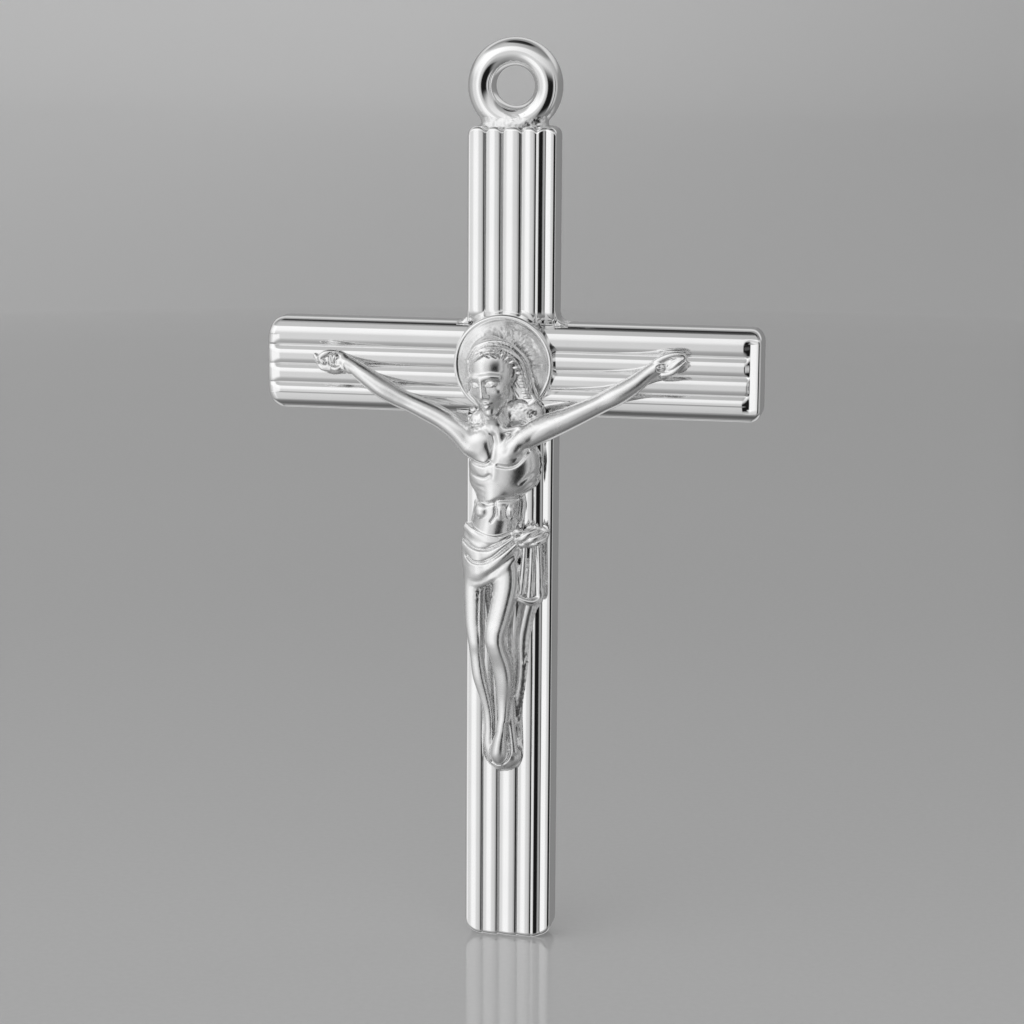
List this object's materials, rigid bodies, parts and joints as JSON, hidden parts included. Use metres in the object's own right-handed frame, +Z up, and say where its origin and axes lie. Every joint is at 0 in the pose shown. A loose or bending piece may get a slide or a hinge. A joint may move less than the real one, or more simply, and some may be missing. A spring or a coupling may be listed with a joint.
{
  "type": "crucifix pendant",
  "caption": "Small metal crucifix pendant: reeded upright and crossbar, cast figure with a dished nimbus behind its head, and a fixed round eye on top.",
  "frame": {"origin": "centre of the flat end face at the foot of the upright", "axes": "+Z up the upright towards the eye, +X along the crossbar to the viewer's right, +Y towards the back"},
  "size_m": [0.0274, 0.0047, 0.05],
  "materials": {
    "bar_metal": "bright polished white metal",
    "eye_metal": "bright polished white metal",
    "solder_metal": "slightly rough solder",
    "nimbus_metal": "polished rim, finely stippled dish",
    "figure_metal": "cast and polished",
    "pin_metal": "polished"
  },
  "bodies": {
    "root": {"upright": "bar_metal", "crossbar": "bar_metal", "hanging_eye": "eye_metal", "eye_solder": "solder_metal", "corner_solder_upper_left": "solder_metal", "corner_solder_upper_right": "solder_metal", "corner_solder_lower_left": "solder_metal", "corner_solder_lower_right": "solder_metal", "nimbus": "nimbus_metal", "crossing_rivet": "pin_metal", "corpus": "figure_metal", "hand_nail_left": "pin_metal", "hand_nail_right": "pin_metal", "feet_pin": "pin_metal"}
  },
  "joints": []
}
